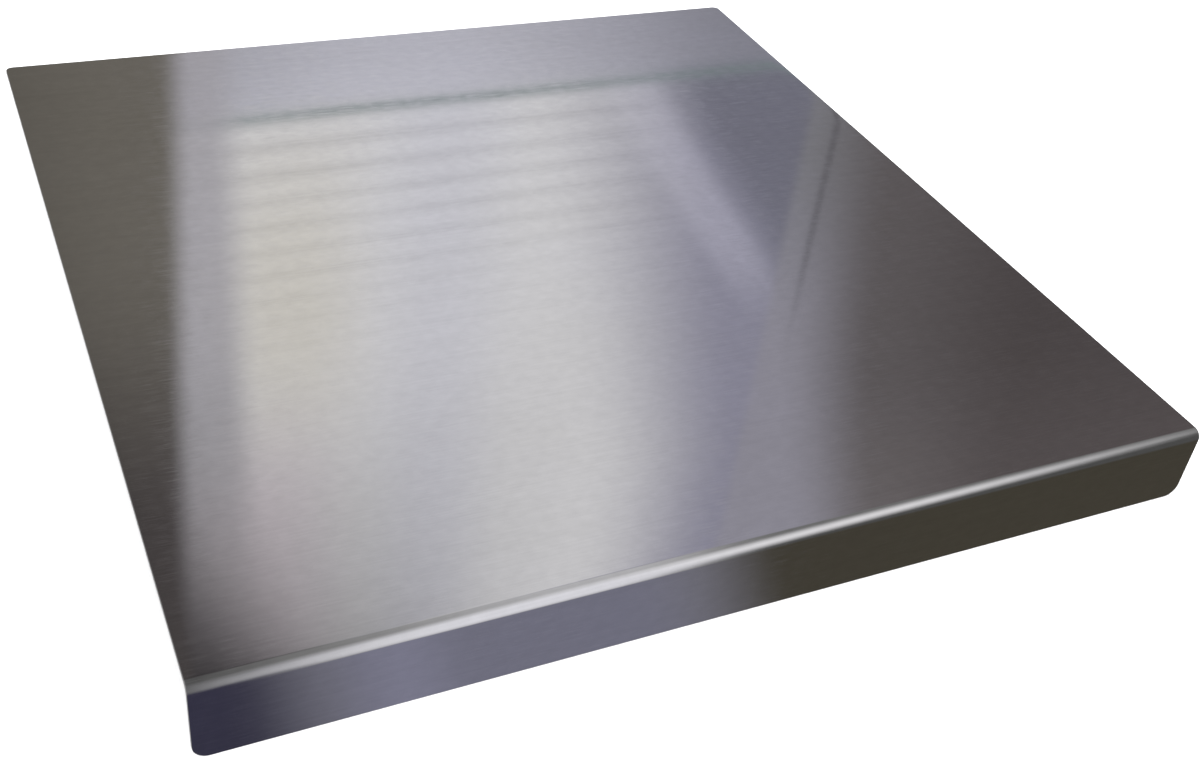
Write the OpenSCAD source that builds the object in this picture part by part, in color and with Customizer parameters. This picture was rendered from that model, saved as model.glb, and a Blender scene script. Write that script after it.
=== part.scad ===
// Worktop board: one sheet of brushed stainless steel, folded down along its front edge,
// that lies on stick-on silicone pads and hooks over the front of a worktop.
//
// Origin: the middle of the plane that the pads rest on.
// +X runs along the fold, -Y points at the folded lip, +Z is up.

/* [Sheet] */
// Width of the board, along the fold
board_w = 500; // [300:5:800]
// Depth of the board, from the lip's outer face to the back edge
board_d = 520; // [300:5:700]
// Thickness of the steel sheet
sheet_t = 2; // [1:0.5:3]
// Height of the folded front, from the lip's lower edge to the top surface
front_h = 41; // [25:1:80]

/* [Fold and corners] */
// Radius inside the fold
fold_inner_r = 3; // [1:0.5:6]
// Radius of the two back corners, seen from above
back_corner_r = 4; // [1:0.5:20]
// Radius of the lip's two lower corners, seen from the front
lip_corner_r = 7; // [1:0.5:12]

/* [Pads] */
// Diameter of each anti-slip pad
pad_d = 20; // [14:1:40]
// Thickness of each anti-slip pad
pad_t = 1.5; // [1:0.1:4]
// Radius of the pad's lower rim
pad_rim_r = 0.6; // [0.2:0.1:0.8]
// Thickness of the adhesive disc that holds each pad
adhesive_t = 0.2; // [0.1:0.05:0.5]
// Distance from the edges of the board's flat underside to the middle of a corner pad
pad_inset = 45; // [30:1:90]

/* [Hidden] */
$fn = 96;

// Levels, counted up from the plane that the pads rest on
underside_z = pad_t + adhesive_t;
top_z = underside_z + sheet_t;
lip_bottom_z = top_z - front_h;

// Depth positions
front_y = -board_d / 2;
back_y = board_d / 2;
fold_outer_r = fold_inner_r + sheet_t;
fold_y = front_y + fold_outer_r;
fold_z = top_z - fold_outer_r;

// The adhesive disc stops short of the pad's edge
adhesive_d = pad_d - 1;

// Middle of each pad: the corners of the flat underside, and the origin
pad_x = board_w / 2 - pad_inset;
pad_front_y = fold_y + pad_inset;
pad_back_y = back_y - pad_inset;
pad_places = [
    ["front_left", [-pad_x, pad_front_y]],
    ["front_right", [pad_x, pad_front_y]],
    ["back_left", [-pad_x, pad_back_y]],
    ["back_right", [pad_x, pad_back_y]],
    ["centre", [0, 0]]
];

// Rectangle w wide and h high whose middle bottom is the origin, with its two top corners round
module round_topped(w, h, r) {
    translate([-w / 2, 0]) square([w, h - r]);
    translate([-w / 2 + r, 0]) square([w - 2 * r, h]);
    for (side = [-1, 1]) translate([side * (w / 2 - r), h - r]) circle(r = r);
}

// Flat top of the board, behind the fold
module flat_top() {
    translate([0, fold_y, underside_z])
        linear_extrude(sheet_t) round_topped(board_w, back_y - fold_y, back_corner_r);
}

// Upright lip below the fold; its outline is drawn lying down and turned to hang from the fold
module lip() {
    translate([0, front_y, fold_z])
        rotate([-90, 0, 0])
        linear_extrude(sheet_t) round_topped(board_w, fold_z - lip_bottom_z, lip_corner_r);
}

// Quarter tube that joins the flat top to the lip
module fold() {
    translate([-board_w / 2, fold_y, fold_z])
        rotate([90, 0, 90])
        linear_extrude(board_w) intersection() {
            difference() {
                circle(r = fold_outer_r);
                circle(r = fold_inner_r);
            }
            translate([-fold_outer_r, 0]) square(fold_outer_r);
        }
}

module board() {
    color("silver") union() {
        flat_top();
        fold();
        lip();
    }
}

// Half section of a pad, from its axis outwards, with a round lower rim
module pad_section() {
    pad_r = pad_d / 2;
    translate([0, pad_rim_r]) square([pad_r, pad_t - pad_rim_r]);
    square([pad_r - pad_rim_r, pad_t]);
    translate([pad_r - pad_rim_r, pad_rim_r]) circle(r = pad_rim_r);
}

module pad(at) {
    color("gainsboro") translate([at[0], at[1], 0]) rotate_extrude() pad_section();
}

module adhesive(at) {
    color("lightyellow") translate([at[0], at[1], pad_t]) cylinder(d = adhesive_d, h = adhesive_t);
}

board();
for (place = pad_places) {
    pad(place[1]);
    adhesive(place[1]);
}
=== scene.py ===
"""Brushed stainless steel worktop board with a folded front lip, on a plain pale floor.

The sheet is modelled as it is made: a flat blank with round corners and eased edges, which is
then folded down along its front. Lengths are in metres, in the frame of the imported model.
"""
import functools
import math

import bmesh
import bpy
from mathutils import Matrix, Vector, noise


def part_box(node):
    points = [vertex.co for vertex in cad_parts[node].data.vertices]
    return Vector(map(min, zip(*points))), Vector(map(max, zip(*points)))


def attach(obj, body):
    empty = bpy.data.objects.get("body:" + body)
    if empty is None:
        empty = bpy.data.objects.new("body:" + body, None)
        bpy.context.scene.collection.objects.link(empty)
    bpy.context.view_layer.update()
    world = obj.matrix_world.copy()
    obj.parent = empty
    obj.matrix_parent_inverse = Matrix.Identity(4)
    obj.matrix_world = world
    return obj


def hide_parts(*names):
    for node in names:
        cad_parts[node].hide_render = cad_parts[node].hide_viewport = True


MM = 0.001

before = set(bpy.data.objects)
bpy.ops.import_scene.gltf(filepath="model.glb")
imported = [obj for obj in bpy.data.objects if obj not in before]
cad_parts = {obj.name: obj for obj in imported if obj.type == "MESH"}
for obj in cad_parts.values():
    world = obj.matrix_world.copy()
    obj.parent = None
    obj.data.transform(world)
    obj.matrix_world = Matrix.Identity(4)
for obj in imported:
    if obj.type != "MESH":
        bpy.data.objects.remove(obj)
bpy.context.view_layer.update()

# ---------------------------------------------------------------- sizes

sheet_low, sheet_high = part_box("board")
WIDTH = sheet_high.x - sheet_low.x
TOP_Z = sheet_high.z
UNDERSIDE_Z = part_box("adhesive_centre")[1].z
THICKNESS = TOP_Z - UNDERSIDE_Z
FRONT_Y = sheet_low.y
BACK_Y = sheet_high.y
LIP_BOTTOM_Z = sheet_low.z

# The same fold and corners as the CAD sheet
FOLD_INNER_R = 3 * MM
FOLD_OUTER_R = FOLD_INNER_R + THICKNESS
BACK_CORNER_R = 4 * MM
LIP_CORNER_R = 7 * MM
# Eased cut edges, all round on both sides of the sheet
EDGE_R = 0.3 * MM

FOLD_Y = FRONT_Y + FOLD_OUTER_R
FOLD_Z = TOP_Z - FOLD_OUTER_R

# Distances along the blank, from the back edge: start of the fold, end of the fold, lip edge.
# The fold's stretch is the length of its outer skin.
FOLD_START = BACK_Y - FOLD_Y
FOLD_END = FOLD_START + FOLD_OUTER_R * math.pi / 2
BLANK_LENGTH = FOLD_END + FOLD_Z - LIP_BOTTOM_Z

# ---------------------------------------------------------------- camera

# Where the camera stands, from the middle of the top face, in board widths
CAMERA_PLACE = Vector((-0.600, -1.258, 0.858))
# How it is turned about X, Y and Z, in degrees
CAMERA_TURN = (52.59, -6.09, -24.42)
# Focal length and sensor width, in millimetres
CAMERA_LENS = 43.8
SENSOR_WIDTH = 36.0


def link(thing):
    bpy.context.scene.collection.objects.link(thing)


def turned(degrees):
    """A rotation about X, Y and Z."""
    return [math.radians(angle) for angle in degrees]


def make_camera():
    """Looks at the board from above its front left corner."""
    data = bpy.data.cameras.new("camera")
    data.sensor_width = SENSOR_WIDTH
    data.lens = CAMERA_LENS
    data.clip_start = 0.01
    data.clip_end = 100.0
    camera = bpy.data.objects.new("camera", data)
    middle = Vector(((sheet_low.x + sheet_high.x) / 2, (FRONT_Y + BACK_Y) / 2, TOP_Z))
    camera.location = middle + CAMERA_PLACE * WIDTH
    camera.rotation_euler = turned(CAMERA_TURN)
    link(camera)
    bpy.context.scene.camera = camera


# ---------------------------------------------------------------- node helpers


def rgb(red, green, blue):
    return (red, green, blue, 1.0)


def grey(level):
    return rgb(level, level, level)


class Graph:
    """Adds nodes to a material's or world's tree, and hands back their output sockets.

    Wherever a method takes a value, it is either a socket or a plain number or colour."""

    def __init__(self, owner):
        owner.use_nodes = True
        self.tree = owner.node_tree
        self.tree.nodes.clear()

    def node(self, kind, **settings):
        made = self.tree.nodes.new(kind)
        for name, value in settings.items():
            setattr(made, name, value)
        return made

    def feed(self, socket, value):
        """Links value to a socket if it is another socket, and otherwise sets it."""
        if isinstance(value, bpy.types.NodeSocket):
            self.tree.links.new(value, socket)
        else:
            socket.default_value = value

    def math(self, operation, *values):
        made = self.node("ShaderNodeMath", operation=operation)
        for socket, value in zip(made.inputs, values):
            self.feed(socket, value)
        return made.outputs[0]

    def sum(self, *values):
        return functools.reduce(lambda total, value: self.math("ADD", total, value), values)

    def product(self, *values):
        return functools.reduce(lambda total, value: self.math("MULTIPLY", total, value), values)

    def ramp(self, value, low, high, start=0.0, end=1.0, shape="SMOOTHSTEP"):
        """Goes from start, where value is low, to end, where it is high."""
        made = self.node("ShaderNodeMapRange", interpolation_type=shape)
        for socket, number in zip(made.inputs, (value, low, high, start, end)):
            self.feed(socket, number)
        return made.outputs["Result"]

    def swing(self, value, middle, reach):
        """A noise pattern, spread reach either side of middle."""
        return self.ramp(value, 0.25, 0.75, middle - reach, middle + reach, "LINEAR")

    def band(self, value, low, high, soft, soft_end=None):
        """1 where value is between low and high, 0 outside; soft is the width of its edges."""
        far = (soft if soft_end is None else soft_end) / 2
        rise = self.ramp(value, low - soft / 2, low + soft / 2)
        fall = self.ramp(value, high - far, high + far, 1.0, 0.0)
        return self.product(rise, fall)

    def blend(self, factor, first, second, mode="MIX"):
        made = self.node("ShaderNodeMix", data_type="RGBA", blend_type=mode)
        self.feed(made.inputs["Factor"], factor)
        self.feed(made.inputs["A"], first)
        self.feed(made.inputs["B"], second)
        return made.outputs["Result"]

    def scaled(self, colour, level):
        """colour times a level."""
        level_colour = self.node("ShaderNodeCombineColor")
        for socket in level_colour.inputs[:3]:
            self.feed(socket, level)
        return self.blend(1.0, colour, level_colour.outputs[0], "MULTIPLY")

    def noise(self, vector, factors, detail):
        """Soft noise, with the vector first multiplied by factors."""
        scaled = self.node("ShaderNodeVectorMath", operation="MULTIPLY")
        self.feed(scaled.inputs[0], vector)
        scaled.inputs[1].default_value = factors
        made = self.node("ShaderNodeTexNoise")
        self.feed(made.inputs["Vector"], scaled.outputs[0])
        made.inputs["Scale"].default_value = 1.0
        made.inputs["Detail"].default_value = detail
        return made.outputs["Fac"]

    def finish(self, output_kind, shader):
        """Ends the tree in its material or world output."""
        self.feed(self.node(output_kind).inputs["Surface"], shader)


# ---------------------------------------------------------------- materials

# The UV map of the sheet: distance across the brushing, then distance along it, in metres
SHEET_UV = "sheet"
# Soft patches in the steel: cells per metre along X, Y and Z
SMEAR_CELLS = (9.0, 13.0, 9.0)
MOTTLE_CELLS = (1 / (7 * MM), 1 / (5 * MM), 1 / (5 * MM))


def grain(graph, across, along):
    """Streaks that run along the brushing: how wide and how long they are, in metres."""
    place = graph.node("ShaderNodeUVMap", uv_map=SHEET_UV).outputs["UV"]
    return graph.noise(place, (1 / across, 1 / along, 1.0), 2.0)


def brushed_steel():
    """Bright stainless steel, lightly brushed along the fold."""
    material = bpy.data.materials.new("brushed_steel")
    graph = Graph(material)
    fine = grain(graph, 0.12 * MM, 14 * MM)
    medium = grain(graph, 0.9 * MM, 150 * MM)
    broad = grain(graph, 9 * MM, 700 * MM)
    place = graph.node("ShaderNodeTexCoord").outputs["Object"]
    smear = graph.noise(place, SMEAR_CELLS, 3.0)
    mottle = graph.noise(place, MOTTLE_CELLS, 3.0)

    # Each pattern, and how far it lightens or darkens the steel
    patterns = ((fine, 0.04), (medium, 0.025), (broad, 0.012), (smear, 0.02), (mottle, 0.035))
    tone = graph.product(*[graph.swing(pattern, 1.0, reach) for pattern, reach in patterns])
    colour = graph.blend(smear, rgb(0.605, 0.598, 0.588), rgb(0.600, 0.597, 0.605))
    # Between the scratches the sheet is nearly a mirror
    roughness = graph.sum(
        graph.ramp(fine, 0.50, 0.64, 0.03, 0.15),
        graph.swing(medium, 0.0, 0.010),
        graph.swing(smear, 0.0, 0.006),
    )
    bump = graph.node("ShaderNodeBump")
    bump.inputs["Strength"].default_value = 1.0
    bump.inputs["Distance"].default_value = 0.0004 * MM
    graph.feed(bump.inputs["Height"], graph.sum(graph.product(fine, 0.2), medium))

    tangent = graph.node("ShaderNodeTangent", direction_type="UV_MAP", uv_map=SHEET_UV)
    shader = graph.node("ShaderNodeBsdfPrincipled")
    shader.inputs["Metallic"].default_value = 1.0
    shader.inputs["Anisotropic"].default_value = 0.7
    graph.feed(shader.inputs["Base Color"], graph.scaled(colour, tone))
    graph.feed(shader.inputs["Roughness"], roughness)
    graph.feed(shader.inputs["Normal"], bump.outputs["Normal"])
    graph.feed(shader.inputs["Tangent"], tangent.outputs["Tangent"])
    graph.finish("ShaderNodeOutputMaterial", shader.outputs["BSDF"])
    return material


def clouded(name, colour, other, roughness, cell, bump_depth, metallic=0.0):
    """A material whose colour and roughness wander in soft cells, with a fine bump."""
    material = bpy.data.materials.new(name)
    graph = Graph(material)
    place = graph.node("ShaderNodeTexCoord").outputs["Object"]
    cloud = graph.noise(place, (1 / cell,) * 3, 3.0)
    speck = graph.noise(place, (12 / cell,) * 3, 2.0)
    bump = graph.node("ShaderNodeBump")
    bump.inputs["Distance"].default_value = bump_depth
    graph.feed(bump.inputs["Height"], speck)
    shader = graph.node("ShaderNodeBsdfPrincipled")
    shader.inputs["Metallic"].default_value = metallic
    graph.feed(shader.inputs["Base Color"], graph.blend(cloud, colour, other))
    graph.feed(shader.inputs["Roughness"], graph.swing(speck, roughness, 0.05))
    graph.feed(shader.inputs["Normal"], bump.outputs["Normal"])
    graph.finish("ShaderNodeOutputMaterial", shader.outputs["BSDF"])
    return material


def cut_edge():
    """Sawn and deburred steel."""
    return clouded("cut_edge", grey(0.50), grey(0.58), 0.42, 3 * MM, 0.01 * MM, metallic=1.0)


def mill_finish():
    """Steel as it leaves the rolling mill, dull and even."""
    return clouded("mill_finish", grey(0.50), grey(0.56), 0.40, 25 * MM, 0.004 * MM, metallic=1.0)


def silicone():
    """Milky rubber with a matt skin."""
    return clouded(
        "silicone", rgb(0.66, 0.68, 0.70), rgb(0.74, 0.75, 0.76), 0.5, 6 * MM, 0.02 * MM
    )


def glue():
    """Pale double-sided tape."""
    return clouded(
        "adhesive", rgb(0.80, 0.77, 0.66), rgb(0.86, 0.84, 0.76), 0.6, 4 * MM, 0.01 * MM
    )


# ---------------------------------------------------------------- the sheet

# How finely the mesh is divided
GRID_COLUMNS = 64
FLAT_ROWS = 66
FOLD_ROWS = 16
LIP_ROWS = 5
CORNER_STEPS = 8
EDGE_STEPS = 3

# The sheet's material slots
BRUSHED, CUT, MILL = 0, 1, 2
# Keep the underside's and the cut edge's parts of the UV map away from the top's, in metres
UNDERSIDE_SHIFT = 2.0
RIM_SHIFT = 4.0

# How far a real sheet of this size wanders from flat
WAVE_HEIGHT = 0.08 * MM
WAVE_LENGTH = 190 * MM


def spaced(start, end, steps):
    """Evenly spaced numbers from start to end, both included."""
    return [start + (end - start) * step / steps for step in range(steps + 1)]


def waviness(x, along):
    """Height of the sheet above a true plane. It dies out at the fold, which stiffens the sheet."""
    fade = min(1.0, max(0.0, (FOLD_START - along) / WAVE_LENGTH))
    place = Vector((x / WAVE_LENGTH, along / WAVE_LENGTH, 0.7))
    return WAVE_HEIGHT * fade * noise.noise(place)


def folded(x, along, depth):
    """Where a point of the blank ends up: along from the back edge, depth under the outer skin."""
    if along < FOLD_START:
        return Vector((x, BACK_Y - along, TOP_Z - depth + waviness(x, along)))
    if along < FOLD_END:
        angle = (along - FOLD_START) / FOLD_OUTER_R
        radius = FOLD_OUTER_R - depth
        return Vector((x, FOLD_Y - radius * math.sin(angle), FOLD_Z + radius * math.cos(angle)))
    return Vector((x, FRONT_Y + depth, FOLD_Z - (along - FOLD_END)))


def corner(centre_x, centre_along, radius, first, last):
    """Points round a corner of the blank, each with its outward direction; angles in degrees."""
    points = []
    for angle in spaced(math.radians(first), math.radians(last), CORNER_STEPS):
        out = Vector((math.cos(angle), math.sin(angle)))
        points.append((Vector((centre_x, centre_along)) + out * radius, out))
    return points


def blank_outline(columns, rows):
    """Points round the blank as (point, outward direction, nearest grid vertex), in order.

    A point is (x, along). The grid vertex is (column, row)."""
    half = WIDTH / 2
    last_column, last_row = len(columns) - 1, len(rows) - 1
    back, lip = BACK_CORNER_R, LIP_CORNER_R
    lip_along = BLANK_LENGTH - lip
    outline = [(Vector((-half, a)), Vector((-1, 0)), (0, j)) for j, a in enumerate(rows)]
    lip_left = corner(-half + lip, lip_along, lip, 180, 90)
    outline += [(point, out, (0, last_row)) for point, out in lip_left[1:-1]]
    outline += [
        (Vector((x, BLANK_LENGTH)), Vector((0, 1)), (i, last_row)) for i, x in enumerate(columns)
    ]
    lip_right = corner(half - lip, lip_along, lip, 90, 0)
    outline += [(point, out, (last_column, last_row)) for point, out in lip_right[1:-1]]
    outline += [
        (Vector((half, a)), Vector((1, 0)), (last_column, j))
        for j, a in reversed(list(enumerate(rows)))
    ]
    back_right = corner(half - back, back, back, 0, -90)
    outline += [(point, out, (last_column, 0)) for point, out in back_right[1:]]
    outline += [
        (Vector((x, 0)), Vector((0, -1)), (i, 0)) for i, x in reversed(list(enumerate(columns)))
    ]
    back_left = corner(-half + back, back, back, -90, -180)
    outline += [(point, out, (0, 0)) for point, out in back_left[:-1]]
    return outline


def edge_section():
    """The cut edge from the outer skin to the inner one: (inset, depth, length round the edge)."""
    round_part = [
        (EDGE_R * (1 - math.sin(angle)), EDGE_R * (1 - math.cos(angle)), EDGE_R * angle)
        for angle in spaced(0, math.pi / 2, EDGE_STEPS)
    ]
    whole = 2 * round_part[-1][2] + THICKNESS - 2 * EDGE_R
    other_side = [
        (inset, THICKNESS - depth, whole - length) for inset, depth, length in reversed(round_part)
    ]
    return round_part + other_side


class SheetMesh:
    """The board as one closed mesh: a cut edge with eased corners, and a skin on each side."""

    def __init__(self):
        self.mesh = bmesh.new()
        self.uv_layer = self.mesh.loops.layers.uv.new(SHEET_UV)
        half = WIDTH / 2
        self.columns = spaced(-half + LIP_CORNER_R, half - LIP_CORNER_R, GRID_COLUMNS)
        self.rows = spaced(BACK_CORNER_R, FOLD_START, FLAT_ROWS)
        self.rows += spaced(FOLD_START, FOLD_END, FOLD_ROWS)[1:]
        self.rows += spaced(FOLD_END, BLANK_LENGTH - LIP_CORNER_R, LIP_ROWS)[1:]
        self.outline = blank_outline(self.columns, self.rows)

    def after(self, step):
        """The next step round the outline, which is closed."""
        return (step + 1) % len(self.outline)

    def add_face(self, corners, material):
        """A face through corners, each a vertex and its place in the UV map."""
        face = self.mesh.faces.new([vertex for vertex, _ in corners])
        face.material_index = material
        face.smooth = True
        for loop, (_, uv) in zip(face.loops, corners):
            loop[self.uv_layer].uv = uv

    def add_edge(self):
        """The cut edge all round. Gives back its first and its last ring of vertices."""
        section = edge_section()
        rings = [
            [
                self.mesh.verts.new(folded(*(point - out * inset), depth))
                for point, out, _ in self.outline
            ]
            for inset, depth, _ in section
        ]
        travelled = [0.0]
        for step, (point, _, _) in enumerate(self.outline):
            travelled.append(travelled[-1] + (self.outline[self.after(step)][0] - point).length)

        def at(level, step, brushed):
            wrapped = step % len(self.outline)
            point, out, _ = self.outline[wrapped]
            length = section[level][2]
            # The brushing runs on round the first corner of the edge
            place = point + out * (length - EDGE_R)
            uv = (place.y, place.x) if brushed else (travelled[step] + RIM_SHIFT, length)
            return rings[level][wrapped], uv

        for level in range(len(rings) - 1):
            brushed = level < EDGE_STEPS
            for step in range(len(self.outline)):
                corners = [
                    at(level, step, brushed),
                    at(level + 1, step, brushed),
                    at(level + 1, step + 1, brushed),
                    at(level, step + 1, brushed),
                ]
                self.add_face(corners, BRUSHED if brushed else CUT)
        return rings[0], rings[-1]

    def add_skin(self, depth, edge_ring, material, shift, outward):
        """One side of the sheet: a grid, and a border that joins it to a ring of the edge."""
        grid = {
            (i, j): self.mesh.verts.new(folded(x, along, depth))
            for i, x in enumerate(self.columns)
            for j, along in enumerate(self.rows)
        }

        def add(corners):
            self.add_face(corners if outward else corners[::-1], material)

        def at_grid(i, j):
            return grid[i, j], (self.rows[j] + shift, self.columns[i])

        def at_edge(step):
            point, out, _ = self.outline[step]
            place = point - out * EDGE_R
            return edge_ring[step], (place.y + shift, place.x)

        for i in range(len(self.columns) - 1):
            for j in range(len(self.rows) - 1):
                add([at_grid(i, j), at_grid(i, j + 1), at_grid(i + 1, j + 1), at_grid(i + 1, j)])
        for step, (_, _, near) in enumerate(self.outline):
            after = self.after(step)
            next_near = self.outline[after][2]
            corners = [at_edge(step), at_edge(after), at_grid(*next_near)]
            if near != next_near:
                corners.append(at_grid(*near))
            add(corners)

    def finish(self, name):
        bmesh.ops.recalc_face_normals(self.mesh, faces=self.mesh.faces)
        data = bpy.data.meshes.new(name)
        self.mesh.to_mesh(data)
        self.mesh.free()
        return data


def build_sheet():
    """The board, brushed outside, dull inside, with its cut edge between."""
    builder = SheetMesh()
    outer_ring, inner_ring = builder.add_edge()
    builder.add_skin(0.0, outer_ring, BRUSHED, 0.0, True)
    builder.add_skin(THICKNESS, inner_ring, MILL, UNDERSIDE_SHIFT, False)
    sheet = bpy.data.objects.new("board_sheet", builder.finish("board_sheet"))
    for material in (brushed_steel(), cut_edge(), mill_finish()):
        sheet.data.materials.append(material)
    link(sheet)
    weighted = sheet.modifiers.new("flat faces stay flat", "WEIGHTED_NORMAL")
    weighted.weight = 100
    return sheet


# ---------------------------------------------------------------- floor and lamps

# Half of the floor's side, in metres
FLOOR_REACH = 30.0
FLOOR_COLOUR = grey(0.85)
# How wide the soft lights look from the board
SOFT_LIGHT_SPREAD = math.radians(120)


def floor_paint():
    """Matt and pale. It has one side, so that the board can be looked at from below."""
    material = bpy.data.materials.new("floor")
    graph = Graph(material)
    shader = graph.node("ShaderNodeBsdfDiffuse")
    shader.inputs["Color"].default_value = FLOOR_COLOUR
    through = graph.node("ShaderNodeBsdfTransparent")
    either = graph.node("ShaderNodeMixShader")
    graph.feed(either.inputs[0], graph.node("ShaderNodeNewGeometry").outputs["Backfacing"])
    graph.feed(either.inputs[1], shader.outputs[0])
    graph.feed(either.inputs[2], through.outputs[0])
    graph.finish("ShaderNodeOutputMaterial", either.outputs[0])
    return material


def make_floor():
    """A pale floor that the lip's lower edge and the sheet's back edge both touch."""
    front = Vector((0, FRONT_Y, LIP_BOTTOM_Z))
    back = Vector((0, BACK_Y, UNDERSIDE_Z))
    slope = math.atan2(back.z - front.z, back.y - front.y)
    mesh = bpy.data.meshes.new("floor")
    signs = [(-1, -1), (1, -1), (1, 1), (-1, 1)]
    corners = [(x * FLOOR_REACH, y * FLOOR_REACH, 0) for x, y in signs]
    mesh.from_pydata(corners, [], [(0, 1, 2, 3)])
    mesh.materials.append(floor_paint())
    floor = bpy.data.objects.new("floor", mesh)
    floor.matrix_world = Matrix.Translation(front) @ Matrix.Rotation(slope, 4, "X")
    link(floor)
    # The steel mirrors the studio and not the floor, as if a dark card lay in front of it
    floor.visible_glossy = False
    floor.visible_shadow = False


def make_soft_light(name, energy, degrees):
    """Wide soft light that isn't mirrored. With no turn it shines straight down."""
    data = bpy.data.lights.new(name, "SUN")
    data.energy = energy
    data.angle = SOFT_LIGHT_SPREAD
    lamp = bpy.data.objects.new(name, data)
    lamp.rotation_euler = turned(degrees)
    lamp.visible_glossy = False
    link(lamp)


# ---------------------------------------------------------------- what the steel mirrors

# The blind's slats, from one to the next, on a wall one unit away
SLAT_PITCH = 0.0244


class Directions:
    """Ways of saying where a direction points, as sockets of the world's tree.

    right and up place it on the wall behind the board, one unit away. roll is the angle about the
    fold in degrees: 0 behind the board, 90 overhead, 180 in front and 270 below. lean is how far
    it points to the right of that upright circle, as a tangent."""

    def __init__(self, graph):
        coordinates = graph.node("ShaderNodeTexCoord").outputs["Generated"]
        parts = graph.node("ShaderNodeSeparateXYZ")
        graph.feed(parts.inputs[0], coordinates)
        x, y, z = parts.outputs
        ahead = graph.math("MAXIMUM", y, 0.02)
        self.right = graph.math("DIVIDE", x, ahead)
        self.up = graph.math("DIVIDE", z, ahead)
        angle = graph.product(graph.math("ARCTAN2", z, y), 180 / math.pi)
        self.roll = graph.math("FLOORED_MODULO", angle, 360.0)
        circle = graph.math("SQRT", graph.math("SUBTRACT", 1.0, graph.product(x, x)))
        self.lean = graph.math("DIVIDE", x, graph.math("MAXIMUM", circle, 0.02))


def slanted(graph, value, other, slope, offset):
    """value less a line's value at other, so that 0 is on the line."""
    return graph.math("SUBTRACT", value, graph.math("MULTIPLY_ADD", other, slope, offset))


def curtain(graph, right, up):
    """A light curtain with one darker side, and a bright streak along the border."""
    border = slanted(graph, right, up, 0.72, 0.171)
    cloth = graph.blend(
        graph.ramp(border, -0.01, 0.055), rgb(0.375, 0.37, 0.475), rgb(0.235, 0.235, 0.30)
    )
    streak = graph.product(
        graph.band(border, -0.045, 0.005, 0.03), graph.ramp(up, 0.84, 0.72, 0.0, 0.42)
    )
    return graph.blend(streak, cloth, rgb(0.78, 0.77, 0.92))


def window_frame(graph, right, up):
    """The frame right of the curtain, with a dark joint line."""
    paint = graph.blend(graph.ramp(up, 0.62, 0.85), rgb(0.30, 0.30, 0.33), rgb(0.41, 0.40, 0.47))
    joint = graph.product(graph.band(right, 0.766, 0.774, 0.006), graph.ramp(up, 0.9, 0.7), 0.7)
    return graph.blend(joint, paint, rgb(0.12, 0.12, 0.14))


def blind(graph, right, up):
    """A bright blind with a cooler and a warmer stretch. Its slats fade out upwards."""
    cloth = graph.blend(
        graph.band(right, 0.34, 0.43, 0.08), rgb(0.94, 0.935, 0.96), rgb(0.87, 0.87, 0.94)
    )
    warm = graph.product(graph.band(right, 0.20, 0.30, 0.08), graph.band(up, 0.58, 0.84, 0.2))
    cloth = graph.blend(warm, cloth, rgb(0.90, 0.87, 0.81))
    wave = graph.math("SINE", graph.product(up, 2 * math.pi / SLAT_PITCH))
    gaps = graph.math("POWER", graph.math("MULTIPLY_ADD", wave, 0.5, 0.5), 2.5)
    depth = graph.ramp(up, 0.84, 0.56, 0.0, 0.30)
    return graph.scaled(
        cloth, graph.math("MULTIPLY_ADD", graph.math("SUBTRACT", 0.28, gaps), depth, 1.0)
    )


def sill(graph, right, up):
    """The window sill, dimmer towards both ends."""
    paint = graph.blend(graph.ramp(right, 0.35, 0.68), rgb(0.76, 0.76, 0.86), rgb(0.36, 0.36, 0.43))
    paint = graph.scaled(paint, graph.ramp(right, 0.16, 0.32, 0.78, 1.0))
    return graph.scaled(paint, graph.ramp(up, 0.49, 0.53, 0.90, 1.0))


def faded_corner(graph, right, up, wall):
    """The wall, less bright and slightly rosy towards its top left corner."""
    loss = graph.product(
        graph.ramp(right, 0.12, 0.62, 1.0, 0.0), graph.ramp(up, 0.78, 1.22, 0.0, 0.8, "LINEAR")
    )
    near_edge = graph.ramp(slanted(graph, right, up, 0.3, -0.20), 0.0, 0.14, 0.25, 1.0)
    wall = graph.scaled(wall, graph.product(graph.math("SUBTRACT", 1.0, loss), near_edge))
    rosy = graph.product(graph.ramp(right, 0.33, 0.22), graph.ramp(up, 0.78, 0.96))
    return graph.blend(rosy, wall, rgb(1.0, 0.93, 0.96), "MULTIPLY")


def jamb(graph, up):
    return graph.blend(graph.ramp(up, 0.68, 0.98), rgb(0.54, 0.525, 0.57), rgb(0.335, 0.33, 0.355))


def left_wall(graph, right, up):
    """The dark wall left of the window."""
    paint = graph.blend(
        graph.ramp(up, 0.62, 0.95), rgb(0.205, 0.190, 0.165), rgb(0.090, 0.080, 0.080)
    )
    return graph.scaled(paint, graph.ramp(right, 0.04, 0.13, 0.82, 1.0))


def right_wall(graph, edge, up):
    """The dark wall right of the window, lighter upwards; edge is 0 where the window ends."""
    paint = graph.blend(
        graph.ramp(edge, 0.03, 0.28), rgb(0.165, 0.150, 0.155), rgb(0.108, 0.094, 0.096)
    )
    return graph.scaled(paint, graph.ramp(up, 0.90, 1.16, 1.0, 1.26))


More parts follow.
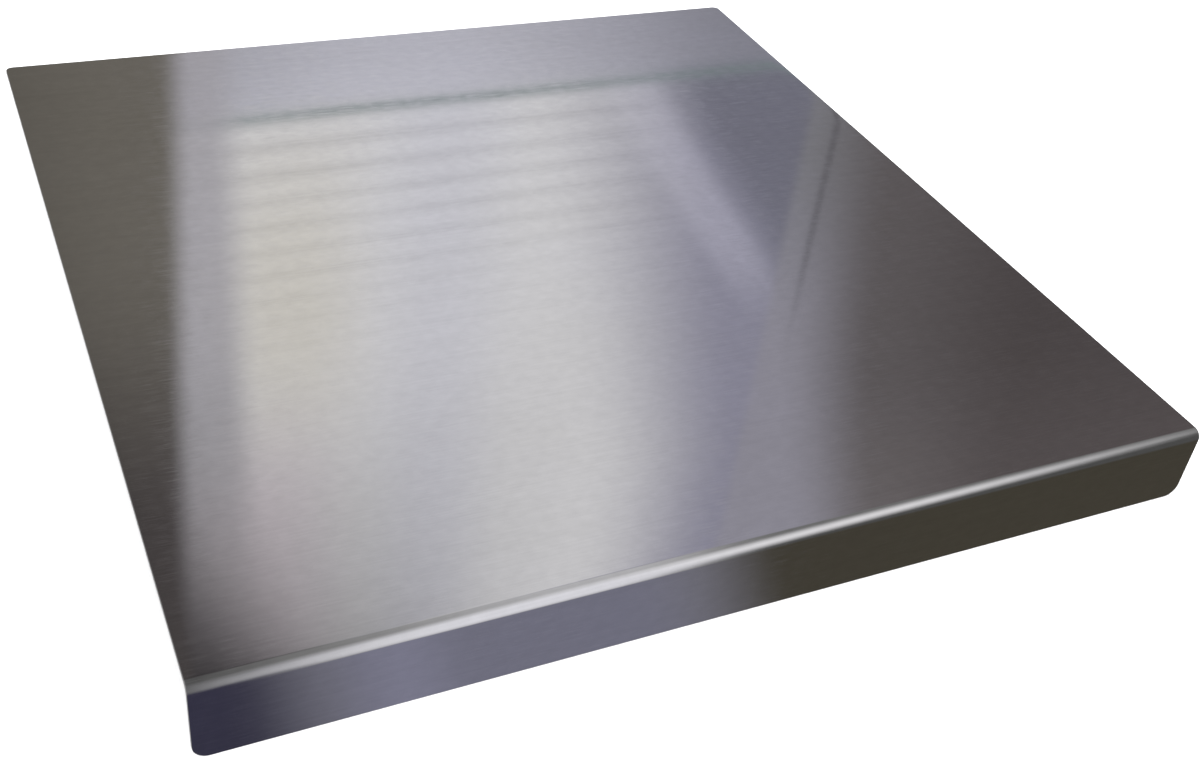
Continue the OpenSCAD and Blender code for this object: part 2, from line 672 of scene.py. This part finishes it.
def window_wall(graph, way, colour):
    """The wall behind the board: a wide window with a blind, a curtain beside it, dark walls."""
    right, up = way.right, way.up
    edge = slanted(graph, right, graph.math("POWER", up, 3.0), 0.09, 0.766)
    drawn = graph.blend(
        graph.ramp(right, 0.73, 0.745), curtain(graph, right, up), window_frame(graph, right, up)
    )
    wall = graph.blend(graph.ramp(edge, 0.06, -0.07), right_wall(graph, edge, up), drawn)
    window_edge = slanted(graph, right, graph.math("MINIMUM", up, 0.98), 0.25, 0.395)
    wall = graph.blend(graph.ramp(window_edge, 0.10, -0.10), wall, blind(graph, right, up))
    wall = graph.blend(graph.ramp(up, 0.545, 0.530), wall, sill(graph, right, up))
    # The dark gap between the sill and the blind
    wall = graph.blend(graph.band(up, 0.538, 0.546, 0.004), wall, rgb(0.26, 0.33, 0.33))
    wall = faded_corner(graph, right, up, wall)
    jamb_share = graph.product(graph.ramp(right, 0.225, 0.190), graph.ramp(up, 1.1, 0.8), 0.85)
    wall = graph.blend(jamb_share, wall, jamb(graph, up))
    jamb_edge = slanted(graph, right, up, -0.05, 0.195)
    wall = graph.blend(graph.ramp(jamb_edge, 0.012, -0.012), wall, left_wall(graph, right, up))
    return graph.blend(graph.ramp(way.roll, 66, 50), colour, wall)


def with_panels(graph, colour, panels):
    """Mixes soft-edged panels in, one over the other.

    Each is (pattern, from, to, softness) across, the same around, and the panel's own colour."""
    for across, around, panel_colour in panels:
        share = graph.product(graph.band(*across), graph.band(*around))
        colour = graph.blend(share, colour, panel_colour)
    return colour


def surroundings(graph, lean, roll):
    """A dark floor, lighter on the far left, under a dim grey room."""
    colour = graph.blend(
        graph.ramp(lean, 0.0, 0.55), rgb(0.055, 0.053, 0.090), rgb(0.080, 0.072, 0.055)
    )
    colour = graph.blend(graph.ramp(lean, -0.35, -1.0), colour, grey(0.22))
    return graph.blend(graph.band(roll, -60, 215, 30), colour, grey(0.11))


def front_panels(graph, lean, roll):
    """The light overhead and in front, which the fold mirrors as its bright line, and the floor."""
    # A light placed by level reaches lower on the left
    level = graph.math("MULTIPLY_ADD", lean, 80.0, roll)
    overhead = (roll, 40, 125, 20)
    return [
        ((lean, 0.12, 1.3, 0.1), overhead, grey(0.24)),
        ((lean, 0.25, 0.47, 0.26, 0.14), overhead, rgb(0.69, 0.69, 0.71)),
        ((lean, 0.22, 0.845, 0.28, 0.48), (level, 154, 214, 60, 60), rgb(1.09, 1.08, 1.11)),
        ((lean, 0.16, 0.46, 0.26, 0.16), (roll, 123, 219, 50, 66), rgb(1.08, 1.08, 1.15)),
        # The floor in front, which the lip mirrors
        ((lean, -0.5, 0.15, 0.3, 0.10), (roll, 190, 262, 40), rgb(0.055, 0.053, 0.090)),
        ((lean, 0.17, 0.47, 0.10, 0.14), (roll, 220, 246, 12), rgb(0.25, 0.25, 0.33)),
        ((lean, 0.205, 0.255, 0.06), (roll, 218, 246, 12), rgb(0.31, 0.31, 0.42)),
    ]


def side_panels(graph, lean, roll):
    """Lights to the left, to the right, overhead and below, for views other than the camera's."""
    left = graph.blend(graph.ramp(lean, -3.4, -1.2), rgb(0.66, 0.66, 0.67), rgb(0.30, 0.30, 0.31))
    left = graph.blend(graph.ramp(lean, -1.1, -0.45), left, rgb(0.85, 0.85, 0.86))
    right = graph.blend(graph.ramp(lean, 2.2, 5.0), rgb(0.72, 0.72, 0.75), rgb(0.34, 0.34, 0.36))
    bottom = graph.blend(graph.ramp(roll, 285, 345), grey(0.62), grey(0.30))
    return [
        ((lean, -50.0, -0.35, 0.5), (roll, 15, 205, 40), left),
        ((lean, 1.9, 50.0, 0.8), (roll, 15, 165, 40), right),
        ((lean, -0.6, 0.0, 0.2), (roll, 60, 125, 20), grey(0.75)),
        ((lean, -4.0, 4.0, 2.0), (roll, 264, 345, 24), bottom),
    ]


def make_dome():
    """A dome of soft light and dark surfaces round the board. The camera itself sees it white."""
    world = bpy.data.worlds.new("studio")
    bpy.context.scene.world = world
    graph = Graph(world)
    way = Directions(graph)
    colour = surroundings(graph, way.lean, way.roll)
    colour = with_panels(graph, colour, front_panels(graph, way.lean, way.roll))
    colour = window_wall(graph, way, colour)
    colour = with_panels(graph, colour, side_panels(graph, way.lean, way.roll))
    seen = graph.node("ShaderNodeLightPath").outputs["Is Camera Ray"]
    background = graph.node("ShaderNodeBackground")
    graph.feed(background.inputs["Color"], graph.blend(seen, colour, grey(1.0)))
    graph.finish("ShaderNodeOutputWorld", background.outputs[0])


# ---------------------------------------------------------------- the object

make_camera()

sheet = build_sheet()
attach(sheet, "root")
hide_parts("board")

node_materials = {"pad_": silicone(), "adhesive_": glue()}
for name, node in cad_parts.items():
    for start, material in node_materials.items():
        if name.startswith(start):
            node.data.materials.clear()
            node.data.materials.append(material)

# ---------------------------------------------------------------- the stage

make_floor()
make_soft_light("from_above", 5.5, (12, -8, 0))
make_soft_light("from_below", 2.0, (165, 10, 0))
make_dome()
bpy.context.scene.view_settings.view_transform = "Standard"
